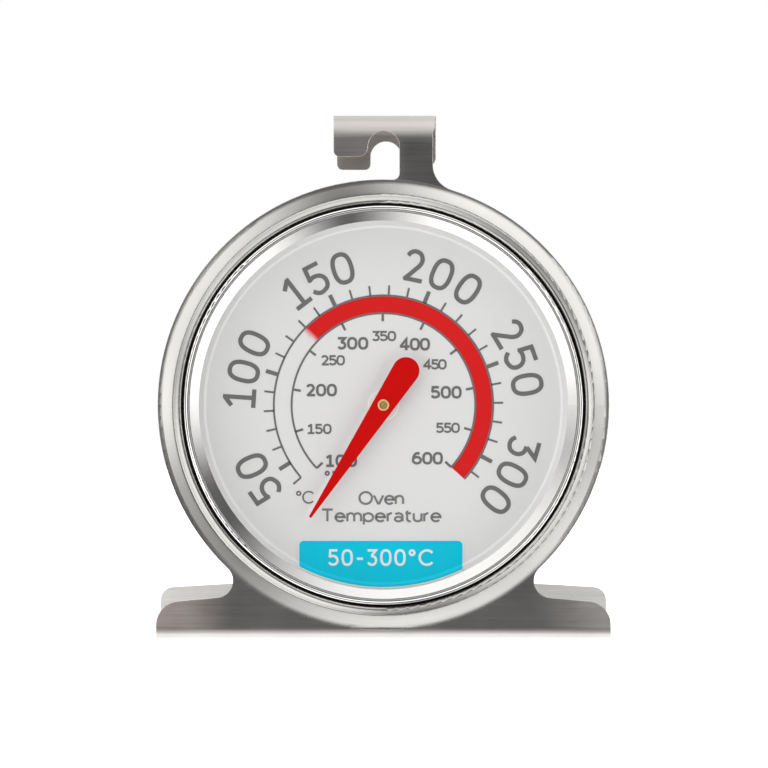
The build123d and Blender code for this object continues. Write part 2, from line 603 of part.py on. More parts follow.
os.makedirs("parts", exist_ok=True)
for name, make in PIECES.items():
    export_step(make(), f"parts/{name}.step")
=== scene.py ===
"""Oven thermometer: materials, the printed dial, and the studio round it.

Metres in the row frame: +Z up, the dial faces -Y. Dial artwork is drawn in millimetres from the dial's
centre, x to the reader's right and z up, and angles are degrees anticlockwise from +X.
"""

from collections import namedtuple
from math import cos, hypot, pi, radians, sin, sqrt

import bpy
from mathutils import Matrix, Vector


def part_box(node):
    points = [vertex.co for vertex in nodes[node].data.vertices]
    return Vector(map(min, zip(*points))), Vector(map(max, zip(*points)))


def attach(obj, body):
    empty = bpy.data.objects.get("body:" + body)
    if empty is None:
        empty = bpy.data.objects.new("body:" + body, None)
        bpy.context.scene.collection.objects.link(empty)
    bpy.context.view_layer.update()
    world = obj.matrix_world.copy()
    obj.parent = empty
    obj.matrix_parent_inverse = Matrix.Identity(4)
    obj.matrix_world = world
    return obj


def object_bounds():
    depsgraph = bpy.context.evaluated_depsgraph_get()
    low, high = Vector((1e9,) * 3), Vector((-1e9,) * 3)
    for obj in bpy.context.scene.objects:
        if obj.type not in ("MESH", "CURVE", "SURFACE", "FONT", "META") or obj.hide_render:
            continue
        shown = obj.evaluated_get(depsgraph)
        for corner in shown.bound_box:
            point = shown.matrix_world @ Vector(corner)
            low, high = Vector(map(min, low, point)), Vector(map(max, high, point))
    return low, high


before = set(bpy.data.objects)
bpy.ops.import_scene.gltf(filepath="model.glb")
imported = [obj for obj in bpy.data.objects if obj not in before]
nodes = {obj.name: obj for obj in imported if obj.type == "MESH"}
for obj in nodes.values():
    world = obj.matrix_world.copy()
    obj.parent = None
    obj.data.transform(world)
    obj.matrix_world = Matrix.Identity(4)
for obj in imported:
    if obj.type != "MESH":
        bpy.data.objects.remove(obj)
cad_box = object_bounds()
MM = 0.001

dial_low, dial_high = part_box("dial_plate")
CENTRE = (dial_low + dial_high) / 2
DIAL_RISE = 0.25                      # mm from the dial's field up to its rim
FIELD_Y = dial_low.y + DIAL_RISE * MM
FIELD_R, RIM_R = 24.4, 24.75          # where the rim starts to rise, and where it is flat again

# The glass's radius and the stand's extents, in millimetres.
GLASS_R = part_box("glass_lens")[1].x / MM
stand_low, stand_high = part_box("stand_frame")
FRONT, BACK, TOP = stand_low.y / MM, stand_high.y / MM, stand_high.z / MM
FOOT_HALF = stand_high.x / MM


# ---------------------------------------------------------------------------------------------- node helpers
class Graph:
    """Short names for the few shader nodes used here."""

    def __init__(self, tree, keep=False):
        self.tree = tree
        if not keep:
            tree.nodes.clear()

    def node(self, kind, **inputs):
        made = self.tree.nodes.new(kind)
        for name, value in inputs.items():
            self.put(made, name.replace("_", " "), value)
        return made

    def put(self, node, name, value):
        socket = node.inputs[int(name) if name.isdigit() else name]
        if isinstance(value, bpy.types.NodeSocket):
            self.tree.links.new(value, socket)
        else:
            socket.default_value = value

    def math(self, operation, a, b=None, clamp=False):
        made = self.tree.nodes.new("ShaderNodeMath")
        made.operation = operation
        made.use_clamp = clamp
        for i, value in enumerate((a, b)):
            if value is not None:
                self.put(made, str(i), value)
        return made.outputs[0]

    def product(self, first, *others):
        for value in others:
            first = self.math("MULTIPLY", first, value)
        return first

    def weigh(self, a, b, share):
        """share of a, and the rest of b."""
        return self.math("ADD", self.math("MULTIPLY", a, share), self.math("MULTIPLY", b, 1 - share))

    def vector(self, operation, a, b=None):
        made = self.tree.nodes.new("ShaderNodeVectorMath")
        made.operation = operation
        for i, value in enumerate((a, b)):
            if value is not None:
                self.put(made, str(i), value)
        return made.outputs["Value" if operation in ("DOT_PRODUCT", "LENGTH") else "Vector"]

    def combine(self, x, y, z):
        return self.node("ShaderNodeCombineXYZ", X=x, Y=y, Z=z).outputs[0]

    def noise(self, vector, scale, detail=2.0, rough=0.5):
        made = self.node("ShaderNodeTexNoise", Vector=vector, Scale=scale, Detail=detail, Roughness=rough)
        return made.outputs[0]

    def span(self, value, a, b, low, high, smooth=False):
        """value mapped from a..b to low..high and clamped."""
        made = self.tree.nodes.new("ShaderNodeMapRange")
        made.interpolation_type = "SMOOTHSTEP" if smooth else "LINEAR"
        self.put(made, "Value", value)
        for name, limit in (("From Min", a), ("From Max", b), ("To Min", low), ("To Max", high)):
            self.put(made, name, limit)
        return made.outputs[0]

    def rising(self, value, limits, smooth=False):
        """0 below the first limit and 1 above the second."""
        return self.span(value, *limits, 0.0, 1.0, smooth)

    def falling(self, value, limits, smooth=False):
        """1 below the first limit and 0 above the second."""
        return self.span(value, *limits, 1.0, 0.0, smooth)

    def mix(self, factor, a, b):
        made = self.tree.nodes.new("ShaderNodeMix")
        made.data_type = "RGBA"
        for place, value in (("0", factor), ("6", a), ("7", b)):
            self.put(made, place, value)
        return made.outputs[2]

    def bump(self, height, strength, distance, **normal):
        made = self.node("ShaderNodeBump", Height=height, Strength=strength, Distance=distance, **normal)
        return made.outputs[0]


def colour(r, g, b):
    """An sRGB colour in 0..255 as linear RGBA."""
    def linear(v):
        v /= 255
        return v / 12.92 if v <= 0.04045 else ((v + 0.055) / 1.055) ** 2.4
    return linear(r), linear(g), linear(b), 1.0


def material(name, **inputs):
    """A new Principled material; returns it, its graph and its shader."""
    made = bpy.data.materials.new(name)
    made.use_nodes = True
    graph = Graph(made.node_tree)
    shader = graph.node("ShaderNodeBsdfPrincipled")
    for socket, value in inputs.items():
        graph.put(shader, socket.replace("_", " "), value)
    output = graph.node("ShaderNodeOutputMaterial")
    graph.tree.links.new(shader.outputs[0], output.inputs["Surface"])
    return made, graph, shader


Place = namedtuple("Place", "here flat radius angle")


def from_axis(graph):
    """Where a point is: in metres, then its offset from the dial's axis in millimetres, with the offset's
    length and its angle in radians.
    """
    here = graph.node("ShaderNodeTexCoord").outputs["Object"]
    offset = graph.vector("SUBTRACT", here, tuple(CENTRE))
    flat = graph.vector("MULTIPLY", offset, (1000, 0, 1000))
    parts = graph.node("ShaderNodeSeparateXYZ", Vector=flat)
    angle = graph.math("ARCTAN2", parts.outputs["Z"], parts.outputs["X"])
    return Place(here, flat, graph.vector("LENGTH", flat), angle)


# ---------------------------------------------------------------------------------------------------- metals
METAL_BUMP, PAINT_BUMP = 0.00002, 0.00001            # metres


def streaks(graph, along, across, fine):
    """Brushing: noise drawn out along one coordinate. along and across are in millimetres."""
    wide = graph.combine(graph.math("MULTIPLY", along, 0.05), graph.math("MULTIPLY", across, 2.2), 0.0)
    narrow = graph.combine(graph.math("MULTIPLY", along, 0.11), graph.math("MULTIPLY", across, fine), 7.0)
    return graph.weigh(graph.noise(wide, 1.0), graph.noise(narrow, 1.0, 3.0, 0.6), 0.4)


def turned_tangent(graph, flat):
    """The direction round the dial's axis, along which turning and brushing leave their marks."""
    return graph.vector("NORMALIZE", graph.vector("CROSS_PRODUCT", (0.0, 1.0, 0.0), flat))


# Where the stand's finish and its painted light change, in millimetres. Each pair is where the change starts
# and where it ends.
RING_EDGE_R = (30.95, 31.1)                          # the turned ring is inside, the flat sheet outside
VALLEY_INNER_R, VALLEY_OUTER_R = (28.75, 28.9), (28.98, 29.12)
COLLAR_R = (27.7, 27.8)                              # the inner wall that the bezel sits in
RING_BACK_Y = (FRONT + 4.5, FRONT + 5.5)             # the ring is in front of this, most of the foot behind
UPRIGHT_BACK_Y = (FRONT + 0.8, FRONT + 3.0)
NECK_BACK_Y = (FRONT + 1.0, FRONT + 5.0)
FLANGE_FRONT_Y = (BACK - 6.0, BACK - 3.0)
FLOOR_TOP_Z, FLANGE_FOOT_Z = (0.9, 1.6), (0.6, 2.0)
FOOT_LEAN_Z = (0.0, 9.0)                             # over this height the pale ends shift 1 mm to the left
FOOT_TO_NECK_Z = (20.0, 30.0)
HOOK_BEND_Z = (TOP - 4.2, TOP - 2.5)
NECK_LEFT_X = (0.5, 3.5)                             # the neck is to the right of this
FOOT_END_X = (FOOT_HALF - 11.25, FOOT_HALF + 0.25)
LEFT_END_X = (0.25 - FOOT_HALF, 11.25 - FOOT_HALF)
JOINT_DEPTH = (-4.2, -3.9)                           # from the dial's field: behind this the painted shade is at full strength
FORWARD = (-0.5, 0.0)                                # the normal's y, on faces that look to the front


def foot_skin(graph, x, y, z):
    """The front upright is painted darker in the middle and paler at its ends, partly as the sheet's own tone
    and partly as painted reflection, and its left end has a warm tint of painted reflection; the rest of the
    foot is plain.
    """
    aside = graph.math("ABSOLUTE", graph.math("ADD", x, graph.rising(z, FOOT_LEAN_Z)))
    ends = graph.rising(aside, FOOT_END_X, smooth=True)
    tone_and_painted_light = graph.mix(ends, (0.57, 0.56, 0.56, 1), (1.5, 1.44, 1.43, 1))
    left_end = graph.falling(x, LEFT_END_X, smooth=True)
    tone_and_painted_light = graph.mix(left_end, tone_and_painted_light, (1.5, 1.31, 1.27, 1))
    elsewhere = graph.math("MAXIMUM", graph.rising(y, UPRIGHT_BACK_Y), graph.falling(z, FLOOR_TOP_Z))
    return graph.mix(elsewhere, tone_and_painted_light, (1.0, 0.99, 0.98, 1))


def neck_skin(graph, x, y, z, forward):
    """The neck is painted darker than the hook's front, and the hook is painted paler inside, partly as the
    sheet's own tone and partly as painted reflection.
    """
    below_bend = graph.falling(z, HOOK_BEND_Z, smooth=True)
    down_neck = graph.product(graph.rising(x, NECK_LEFT_X, smooth=True), below_bend)
    front = graph.mix(down_neck, (0.76, 0.74, 0.73, 1), (0.43, 0.43, 0.43, 1))
    behind = graph.mix(forward, (1.05, 1.04, 1.03, 1), (1.5, 1.42, 1.36, 1))
    return graph.mix(graph.rising(y, NECK_BACK_Y), front, behind)


def stand_steel():
    """Stainless sheet: brushed round the dial's axis on the ring, left to right on the foot and the hook."""
    made, graph, shader = material("stand_steel", Anisotropic=0.7)
    here, flat, radius, angle = from_axis(graph)
    parts = graph.node("ShaderNodeSeparateXYZ", Vector=graph.vector("MULTIPLY", here, (1000, 1000, 1000)))
    x, y, z = parts.outputs["X"], parts.outputs["Y"], parts.outputs["Z"]
    normal = graph.node("ShaderNodeNewGeometry").outputs["Normal"]
    forward = graph.falling(graph.node("ShaderNodeSeparateXYZ", Vector=normal).outputs["Y"], FORWARD)
    at_front = graph.falling(y, RING_BACK_Y)
    on_ring = graph.product(graph.falling(radius, RING_EDGE_R), at_front)
    straight = streaks(graph, x, graph.math("SUBTRACT", z, y), 9.0)
    turned = streaks(graph, graph.math("MULTIPLY", angle, 30.0), radius, 5.0)
    marks = graph.math(
        "ADD", graph.product(turned, graph.math("MULTIPLY", on_ring, 0.35)),
        graph.product(straight, graph.span(on_ring, 0.0, 1.0, 1.0, 0.15)))
    tone = graph.weigh(marks, graph.noise(here, 160.0, 3.0, 0.6), 0.7)
    clean = graph.mix(graph.rising(tone, (0.3, 0.7)), (0.50, 0.49, 0.475, 1), (0.66, 0.65, 0.64, 1))

    # These multipliers on the clean sheet's tone, place by place, are partly the sheet's own tone and partly
    # painted light: painted reflection and shade on the foot and the neck, and the painted light below. The
    # valley's band isn't limited to the ring, so it also draws a thin arc on the rear flange, which the head
    # hides from the front.
    foot, neck = foot_skin(graph, x, y, z), neck_skin(graph, x, y, z, forward)
    tone_and_painted_light = graph.mix(graph.rising(z, FOOT_TO_NECK_Z), foot, neck)
    tone_and_painted_light = graph.mix(on_ring, tone_and_painted_light, (1.05, 1.05, 1.05, 1.0))
    # Painted light: the valley between the lip and the bead is painted paler, to lift the dark line that its
    # shape shows.
    valley = graph.product(graph.rising(radius, VALLEY_INNER_R), graph.falling(radius, VALLEY_OUTER_R))
    tone_and_painted_light = graph.mix(valley, tone_and_painted_light, (1.45, 1.45, 1.45, 1.0))
    # Painted highlight: the rear flange's forward face is painted paler, and made less metallic and rougher,
    # so that it shows near-white.
    flange = graph.product(graph.rising(y, FLANGE_FRONT_Y), graph.rising(z, FLANGE_FOOT_Z), forward)
    tone_and_painted_light = graph.mix(flange, tone_and_painted_light, (1.48, 1.49, 1.5, 1.0))

    # Painted shade darkens the joint between the collar and the bezel, deep in the gap.
    deep = graph.rising(graph.math("SUBTRACT", y, FIELD_Y / MM), JOINT_DEPTH)
    joint = graph.product(graph.falling(radius, COLLAR_R), graph.math("MAXIMUM", deep, 0.7), at_front)
    tone_and_painted_light = graph.mix(joint, tone_and_painted_light, (0.12, 0.12, 0.12, 1.0))

    # The sheet's cut edges are rounded a little by tumbling, and carry a painted highlight in the base
    # colour.
    bevel = graph.node("ShaderNodeBevel", Radius=0.00013).outputs[0]
    edge = graph.falling(graph.vector("DOT_PRODUCT", bevel, normal), (0.80, 0.97))
    tone_and_painted_light = graph.mix(graph.product(edge, graph.falling(on_ring, (0.0, 1.0))), tone_and_painted_light, (1.5, 1.5, 1.5, 1.0))
    graph.put(shader, "Base Color", graph.vector("MULTIPLY", clean, tone_and_painted_light))
    rough = graph.span(tone, 0.3, 0.7, 0.26, 0.34)
    graph.put(shader, "Roughness", graph.math("MAXIMUM", rough, graph.math("MULTIPLY", flange, 0.75)))
    graph.put(shader, "Metallic", graph.span(flange, 0.0, 1.0, 1.0, 0.25))
    graph.put(shader, "Normal", graph.bump(marks, 0.12, METAL_BUMP, Normal=bevel))
    brush = graph.mix(on_ring, (1.0, 0.0, 0.0, 1.0), turned_tangent(graph, flat))
    graph.put(shader, "Tangent", graph.vector("CROSS_PRODUCT", normal, brush))
    return made


def turned_metal(name, dark, light, rough, fine=12.0, bump=0.25, anisotropic=0.4):
    """Metal with faint marks round the dial's axis, as turning, drawing or polishing leaves."""
    made, graph, shader = material(name, Metallic=1.0, Anisotropic=anisotropic)
    here, flat, radius, angle = from_axis(graph)
    marks = streaks(graph, graph.math("MULTIPLY", angle, 25.0), radius, fine)
    tone = graph.weigh(marks, graph.noise(here, 260.0, 3.0, 0.6), 0.6)
    graph.put(shader, "Base Color", graph.mix(graph.rising(tone, (0.3, 0.7)), dark, light))
    graph.put(shader, "Roughness", graph.span(tone, 0.3, 0.7, *rough))
    graph.put(shader, "Normal", graph.bump(marks, bump, METAL_BUMP))
    normal = graph.node("ShaderNodeNewGeometry").outputs["Normal"]
    graph.put(shader, "Tangent", graph.vector("CROSS_PRODUCT", normal, turned_tangent(graph, flat)))
    return made


def plain_metal(name, dark, light, rough, stretch=(90.0, 900.0, 900.0)):
    """Rolled metal with straight faint marks."""
    made, graph, shader = material(name, Metallic=1.0)
    here = graph.node("ShaderNodeTexCoord").outputs["Object"]
    marks = graph.noise(graph.vector("MULTIPLY", here, stretch), 1.0, 3.0, 0.6)
    tone = graph.weigh(marks, graph.noise(here, 400.0, 3.0, 0.6), 0.5)
    graph.put(shader, "Base Color", graph.mix(graph.rising(tone, (0.3, 0.7)), dark, light))
    graph.put(shader, "Roughness", graph.span(tone, 0.3, 0.7, *rough))
    graph.put(shader, "Normal", graph.bump(marks, 0.3, METAL_BUMP))
    return made


# ---------------------------------------------------------------------------------------- paint, seal, glass
def painted(name, base, rough=(0.35, 0.45), vary=0.03, grain=1800.0, bump=0.06, gloss=0.15):
    """Paint or print: a slight unevenness of tone and gloss, and a fine orange-peel surface."""
    made, graph, shader = material(name, Specular_IOR_Level=gloss)
    here = graph.node("ShaderNodeTexCoord").outputs["Object"]
    cloud = graph.noise(here, 120.0, 3.0, 0.6)
    peel = graph.noise(here, grain, 2.0, 0.5)
    darker = tuple(c * (1 - vary) for c in base[:3]) + (1.0,)
    lighter = tuple(min(1.0, c * (1 + vary)) for c in base[:3]) + (1.0,)
    graph.put(shader, "Base Color", graph.mix(graph.rising(cloud, (0.3, 0.7)), darker, lighter))
    graph.put(shader, "Roughness", graph.span(peel, 0.3, 0.7, *rough))
    graph.put(shader, "Normal", graph.bump(peel, bump, PAINT_BUMP))
    return made


def repaint(made):
    """A painted material's graph, its shader and its base colour's source, to work over the paint."""
    graph = Graph(made.node_tree, keep=True)
    shader = next(n for n in made.node_tree.nodes if n.type == "BSDF_PRINCIPLED")
    return graph, shader, shader.inputs["Base Color"].links[0].from_socket


def front_paint(name, base, bare, **options):
    """Paint on the front and the edges, with bare metal left on the face turned away from the glass."""
    made = painted(name, base, **options)
    graph, shader, source = repaint(made)
    normal = graph.node("ShaderNodeNewGeometry").outputs["True Normal"]
    facing = graph.node("ShaderNodeSeparateXYZ", Vector=normal).outputs["Y"]
    graph.put(shader, "Base Color", graph.mix(graph.rising(facing, (0.6, 0.7)), source, bare))
    return made


def red_band_paint(base, ground, start):
    """The band's red, sprayed out to the dial's own colour where it starts, at an angle in degrees."""
    made = painted("print_red", base, vary=0.02)
    graph, shader, source = repaint(made)
    place = from_axis(graph)
    speckle = graph.math("SUBTRACT", graph.noise(place.here, 900.0, 3.0, 0.7), 0.5)
    ragged = graph.math("ADD", place.angle, graph.math("MULTIPLY", speckle, 0.04))
    bare = graph.rising(ragged, (radians(start - 5.2), radians(start - 0.2)), smooth=True)
    graph.put(shader, "Base Color", graph.mix(bare, source, ground))
    return made


def glass():
    """Clear glass with a clean gloss, a few faint smears and a ground chamfer round its edge."""
    made, graph, shader = material("glass", Specular_IOR_Level=0.6)
    place = from_axis(graph)
    smear = graph.noise(graph.vector("MULTIPLY", place.here, (60.0, 60.0, 140.0)), 1.0, 4.0, 0.6)
    ground = graph.rising(place.radius, (GLASS_R - 0.38, GLASS_R - 0.32))
    clean = graph.span(smear, 0.35, 0.75, 0.02, 0.07)
    graph.put(shader, "Base Color", graph.mix(ground, (0.05, 0.055, 0.05, 1), (0.75, 0.76, 0.75, 1)))
    graph.put(shader, "Roughness", graph.math("MAXIMUM", clean, graph.math("MULTIPLY", ground, 0.6)))
    graph.put(shader, "Alpha", graph.span(ground, 0.0, 1.0, 0.05, 0.6))
    return made


# --------------------------------------------------------------------------------------------------- strokes
def arc(cx, cz, rx, rz, start, end, steps=40):
    """Points on an ellipse between two angles in degrees."""
    turn = [radians(start + (end - start) * i / steps) for i in range(steps + 1)]
    return [(cx + rx * cos(t), cz + rz * sin(t)) for t in turn]


def oval(cx, cz, rx, rz, squareness=2.3, steps=72):
    """A closed oval with slightly flattened sides."""
    points = []
    for i in range(steps):
        c, s = cos(2 * pi * i / steps), sin(2 * pi * i / steps)
        points.append((cx + rx * abs(c) ** (2 / squareness) * (1 if c >= 0 else -1),
                       cz + rz * abs(s) ** (2 / squareness) * (1 if s >= 0 else -1)))
    return points


def curve(*points, steps=12):
    """A smooth line through the points."""
    ends = [points[0], *points, points[-1]]
    out = []
    for i in range(1, len(ends) - 2):
        a, b, c, d = ends[i - 1:i + 3]
        for k in range(steps):
            t = k / steps
            out.append(tuple(
                0.5 * (2 * b[j] + (c[j] - a[j]) * t + (2 * a[j] - 5 * b[j] + 4 * c[j] - d[j]) * t * t
                       + (3 * b[j] - a[j] - 3 * c[j] + d[j]) * t ** 3) for j in (0, 1)))
    return out + [points[-1]]


CLOSED = "closed"
# Each glyph: its width as a share of its height, and its strokes in a unit square that spans their middles.
GLYPHS = {
    "0": (0.68, [(oval(0.5, 0.5, 0.5, 0.5, 2.5), CLOSED)]),
    "1": (0.56, [([(0.54, 0.0), (0.54, 1.09)],), ([(-0.08, 0.77), (0.5, 1.02)],),
                 ([(-0.16, 0.0), (1.16, 0.0)],)]),
    "2": (0.65, [(curve((0.03, 0.81), (0.2, 0.95), (0.46, 1.0), (0.76, 0.94), (0.92, 0.75), (0.84, 0.55),
                        (0.6, 0.36), (0.06, -0.05)),), ([(0.02, 0.0), (1.13, 0.0)],)]),
    "3": (0.62, [([(-0.06, 1.0), (0.95, 1.0), (0.42, 0.61)],), (curve(
        (0.38, 0.6), (0.76, 0.56), (0.96, 0.42), (0.98, 0.24), (0.8, 0.06), (0.46, 0.0), (0.2, 0.04),
        (0.0, 0.15)),)]),
    "4": (0.74, [([(0.72, -0.09), (0.72, 1.0), (0.05, 0.27)],), ([(-0.02, 0.27), (1.1, 0.27)],)]),
    "5": (0.65, [([(0.99, 1.0), (0.15, 1.0), (0.1, 0.5)],), (curve(
        (0.04, 0.54), (0.25, 0.595), (0.48, 0.61), (0.76, 0.56), (0.95, 0.43), (0.99, 0.26), (0.86, 0.09),
        (0.48, 0.0), (0.2, 0.045), (0.0, 0.16)),)]),
    "6": (0.68, [(curve((0.84, 0.93), (0.62, 1.0), (0.33, 0.93), (0.1, 0.68), (0.0, 0.33)),),
                 (oval(0.5, 0.31, 0.5, 0.31, 2.1), CLOSED)]),
    "C": (0.92, [(arc(0.56, 0.5, 0.56, 0.5, 42, 318),)]),
    "F": (0.55, [([(1.0, 1.0), (0.0, 1.0), (0.0, 0.0)],), ([(0.0, 0.53), (0.82, 0.53)],)]),
    "deg": (0.42, [(oval(0.5, 0.84, 0.5, 0.16, 2.0, 32), CLOSED)]),
    "-": (0.5, [([(0.0, 0.42), (1.0, 0.42)],)]),
    "O": (1.02, [(oval(0.5, 0.5, 0.5, 0.5, 2.0), CLOSED)]),
    "T": (0.86, [([(0.0, 1.0), (1.0, 1.0)],), ([(0.5, 1.0), (0.5, 0.0)],)]),
    "v": (0.80, [([(0.0, 0.72), (0.47, -0.04)],), ([(0.53, -0.04), (1.0, 0.72)],)]),
    "e": (0.75, [([(0.03, 0.36), (1.0, 0.36)] + arc(0.5, 0.34, 0.5, 0.34, 4, 318),)]),
    "n": (0.66, [([(0.0, 0.68), (0.0, 0.0)],), (arc(0.5, 0.40, 0.5, 0.28, 180, 0) + [(1.0, 0.0)],)]),
    "m": (1.06, [([(0.0, 0.68), (0.0, 0.0)],), (arc(0.25, 0.42, 0.25, 0.26, 180, 0) + [(0.5, 0.0)],),
                 (arc(0.75, 0.42, 0.25, 0.26, 180, 0) + [(1.0, 0.0)],)]),
    "p": (0.76, [([(0.0, 0.68), (0.0, -0.27)],), (oval(0.5, 0.34, 0.5, 0.34, 2.0), CLOSED)]),
    "r": (0.44, [([(0.0, 0.68), (0.0, 0.0)],), (arc(0.85, 0.36, 0.85, 0.32, 180, 82),)]),
    "a": (0.66, [(arc(0.48, 0.42, 0.52, 0.26, 140, 0) + [(1.0, 0.0)],),
                 (oval(0.46, 0.19, 0.46, 0.19, 2.0), CLOSED)]),
    "t": (0.52, [([(0.32, 0.9)] + arc(0.82, 0.2, 0.5, 0.2, 180, 285),), ([(0.0, 0.68), (1.0, 0.68)],)]),
    "u": (0.66, [([(0.0, 0.68)] + arc(0.5, 0.28, 0.5, 0.28, 180, 360),), ([(1.0, 0.68), (1.0, 0.0)],)]),
}


def surface(radius):
    """Depth of the dial's printed surface at that radius in millimetres: flat, then up onto the rim."""
    share = min(1.0, max(0.0, (radius - FIELD_R) / (RIM_R - FIELD_R)))
    return FIELD_Y - DIAL_RISE * MM * share


class Artwork:
    """Flat printed shapes in millimetres from the dial's centre, gathered into one mesh.

    Each point is (x, z, rise): strokes that cross rise by slightly different amounts, so that they don't
    share a plane.
    """

    def __init__(self):
        self.points, self.faces, self.strokes = [], [], 0

    def ribbon(self, line, width, closed=False):
        """A line of constant width with mitred corners and square ends."""
        line = [line[0]] + [b for a, b in zip(line, line[1:]) if hypot(b[0] - a[0], b[1] - a[1]) > 1e-4]
        count, start = len(line), len(self.points)
        rise = 0.004 * (self.strokes % 3)
        self.strokes += 1
        for i, (x, z) in enumerate(line):
            before = line[i - 1] if i or closed else None
            after = line[(i + 1) % count] if i < count - 1 or closed else None
            sides = []
            for a, b in ((before, (x, z)), ((x, z), after)):
                if a is not None and b is not None:
                    run = hypot(b[0] - a[0], b[1] - a[1])
                    sides.append((-(b[1] - a[1]) / run, (b[0] - a[0]) / run))
            nx, nz = sum(s[0] for s in sides), sum(s[1] for s in sides)
            size = hypot(nx, nz)
            nx, nz = nx / size, nz / size
            reach = width / 2 / max(0.38, nx * sides[0][0] + nz * sides[0][1])
            self.points += [(x + nx * reach, z + nz * reach, rise), (x - nx * reach, z - nz * reach, rise)]
        for i in range(count if closed else count - 1):
            a, b = start + 2 * i, start + 2 * ((i + 1) % count)
            self.faces.append((a, a + 1, b + 1, b))

    def glyph(self, key, x, z, height, stroke, turn=0.0, width=None):
        """One glyph whose middle is at (x, z), turned anticlockwise by turn degrees."""
        share, strokes = GLYPHS[key]
        wide = (width or share * height) - stroke
        tall = height - stroke
        c, s = cos(radians(turn)), sin(radians(turn))
        for parts in strokes:
            line = []
            for u, v in parts[0]:
                px, pz = (u - 0.5) * wide, (v - 0.5) * tall
                line.append((x + px * c - pz * s, z + px * s + pz * c))
            self.ribbon(line, stroke, CLOSED in parts)

    def word(self, keys, x, z, height, stroke, width, stretch=1.0):
        """Upright glyphs spread evenly over width, with their middle at (x, z)."""
        widths = [GLYPHS[k][0] * height * stretch for k in keys]
        gap = (width - sum(widths)) / (len(keys) - 1)
        left = x - width / 2
        for key, wide in zip(keys, widths):
            self.glyph(key, left + wide / 2, z, height, stroke, 0.0, wide)
            left += wide + gap

    def make(self, name, paint, lift):
        """The mesh, lift millimetres in front of the dial's surface and riding on the stand."""
        vertices = [(CENTRE.x + x * MM, surface(hypot(x, z)) - (lift + rise) * MM, CENTRE.z + z * MM)
                    for x, z, rise in self.points]
        mesh = bpy.data.meshes.new(name)
        mesh.from_pydata(vertices, [], self.faces)
        mesh.materials.append(paint)
        made = bpy.data.objects.new(name, mesh)
        bpy.context.scene.collection.objects.link(made)
        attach(made, "stand")
        return made


# ----------------------------------------------------------------------------------------- the dial's scales
SCALE_START, PER_DEGREE = 211.7, 0.9572             # the angle of 50 degrees Celsius, and of a degree's step


def celsius(value):
    return SCALE_START - PER_DEGREE * (value - 50)


def fahrenheit(value):
    return celsius((value - 32) / 1.8)


def polar(radius, angle):
    return radius * cos(radians(angle)), radius * sin(radians(angle))


OUTER_R, INNER_R = 15.1, 12.65
LINE, TICK, BOLD = 0.27, 0.27, 0.56
COOL_END, HOT_END = celsius(40), fahrenheit(600)
INNER_START = fahrenheit(100)
MAJOR_R, MINOR_R = 16.85, 16.5                      # the outer ends of the Celsius graduations
INNER_TICK_R, INNER_TICK = 11.55, 0.33
BAND_START = 138.8


def scales():
    art = Artwork()
    art.ribbon(arc(0, 0, OUTER_R, OUTER_R, COOL_END, HOT_END, 200), LINE)
    art.ribbon(arc(0, 0, INNER_R, INNER_R, INNER_START, HOT_END, 200), LINE)
    for value in range(40, 311, 10):
        major = value % 50 == 0
        angle = celsius(value)
        reach, width = (MAJOR_R, BOLD) if major else (MINOR_R, TICK)
        art.ribbon([polar(OUTER_R, angle), polar(reach, angle)], width)
    for value in range(100, 601, 50):
        angle = fahrenheit(value)
        art.ribbon([polar(INNER_R, angle), polar(INNER_TICK_R, angle)], INNER_TICK)
    return art


NUMBER_R, NUMBER_SHIFT = 19.95, (0.1, -0.3)         # the circle of outer numbers is printed a little low
NUMBER_HEIGHT, NUMBER_STROKE = 4.5, 0.6
# Degrees from a number's graduation to its middle, and from a digit's middle to its side.
NUDGE = {50: -2.5, 200: -2.0, 250: -0.5, 300: -0.5}
HALF_DIGIT = {"0": 5.95, "1": 4.55, "2": 5.5, "3": 5.6, "5": 5.2}


def celsius_numbers():
    """The outer numbers: digits set side by side along the circle, round their graduation."""
    art = Artwork()
    for value in range(50, 301, 50):
        angle = celsius(value) + NUDGE.get(value, 0.5) + sum(HALF_DIGIT[key] for key in str(value))
        for key in str(value):
            angle -= HALF_DIGIT[key]
            x, z = polar(NUMBER_R, angle)
            x, z = x + NUMBER_SHIFT[0], z + NUMBER_SHIFT[1]
            art.glyph(key, x, z, NUMBER_HEIGHT, NUMBER_STROKE, angle - 90)
            angle -= HALF_DIGIT[key]
    return art


# Middles of the inner numbers as angle and radius. The figures are upright, and most of those beside the
# scale stand further in.
INNER_NUMBERS = {
    100: (233, 9.6), 150: (200.5, 9.4), 200: (166.5, 8.8), 250: (138.5, 9.3), 300: (116.5, 9.5),
    350: (89.5, 9.5), 400: (63, 9.4), 450: (38.5, 9.0), 500: (11.5, 8.8), 550: (-19.5, 9.4),
    600: (-50.5, 9.5),
}
LARGE_FIGURES = {"height": 1.74, "stroke": 0.35, "width": 4.3, "stretch": 1.19}
SMALL_FIGURES = {"height": 1.42, "stroke": 0.27, "width": 3.32, "stretch": 1.22}


def fahrenheit_numbers():
    """The inner numbers: every other one is larger and bolder."""
    art = Artwork()
    for value, (angle, radius) in INNER_NUMBERS.items():
        figures = LARGE_FIGURES if value % 100 == 0 else SMALL_FIGURES
        art.word(str(value), *polar(radius, angle), **figures)
    return art


def unit_marks():
    art = Artwork()
    art.word(["deg", "C"], x=-10.8, z=-12.7, height=1.78, stroke=0.21, width=2.5)
    art.word(["deg", "F"], x=-7.1, z=-9.9, height=1.7, stroke=0.24, width=2.0)
    return art


